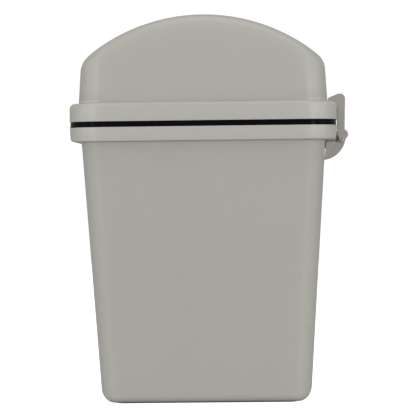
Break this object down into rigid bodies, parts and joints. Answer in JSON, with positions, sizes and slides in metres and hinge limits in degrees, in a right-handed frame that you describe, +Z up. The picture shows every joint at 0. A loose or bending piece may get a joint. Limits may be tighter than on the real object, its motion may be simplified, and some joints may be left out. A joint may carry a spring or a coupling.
{
  "type": "dog waste bin",
  "caption": "Sealed outdoor bin for bagged dog waste: tapered tub, domed hinged lid on a rubber seal, draw latch at one end, bag ring and odour tray inside.",
  "frame": {"origin": "on the floor, under the middle of the tub", "axes": "+Z up, +X towards the latch, -X towards the lid hinge, -Y towards the front"},
  "size_m": [0.2915, 0.212, 0.4],
  "materials": {
    "shell_plastic": "satin",
    "latch_plastic": "satin",
    "seal_rubber": "glossy",
    "foot_rubber": "matte",
    "pin_steel": "brushed",
    "ring_plastic": "matte",
    "tray_plastic": "matte",
    "charcoal_granules": "matte"
  },
  "bodies": {
    "tub": {"tub": "shell_plastic", "foot_ring": "foot_rubber", "hinge_pin": "pin_steel", "latch_pivot_pin": "pin_steel"},
    "lid": {"lid_shell": "shell_plastic", "lid_seal": "seal_rubber", "odour_tray": "tray_plastic", "charcoal_filter": "charcoal_granules", "tray_screws": "pin_steel", "tray_hinge_pin": "pin_steel"},
    "tray_cover": {"tray_cover": "tray_plastic"},
    "latch_lever": {"latch_lever": "latch_plastic", "latch_link_pin": "pin_steel"},
    "latch_hook": {"latch_hook": "latch_plastic"},
    "bag_ring": {"bag_ring": "ring_plastic"}
  },
  "joints": [
    {"name": "lid_hinge", "type": "hinge", "parent": "tub", "child": "lid", "pos_m": [-0.1395, 0, 0.2879], "axis": [0, -1, 0], "range_deg": [0, 105]},
    {"name": "latch_lever_hinge", "type": "hinge", "parent": "tub", "child": "latch_lever", "pos_m": [0.1445, 0, 0.2766], "axis": [0, -1, 0], "range_deg": [0, 130]},
    {"name": "latch_hook_hinge", "type": "hinge", "parent": "latch_lever", "child": "latch_hook", "pos_m": [0.1438, 0, 0.2714], "axis": [0, -1, 0], "range_deg": [-149.5, 0]},
    {"name": "bag_ring_lift", "type": "slide", "parent": "tub", "child": "bag_ring", "axis": [0, 0, 1], "range_m": [0, 0.028]},
    {"name": "tray_cover_hinge", "type": "hinge", "parent": "lid", "child": "tray_cover", "pos_m": [0, 0.0449, 0.3515], "axis": [1, 0, 0], "range_deg": [0, 90]}
  ],
  "couplings": [
    {"joint": "latch_hook_hinge", "follows": "latch_lever_hinge", "ratio": -1.15}
  ]
}
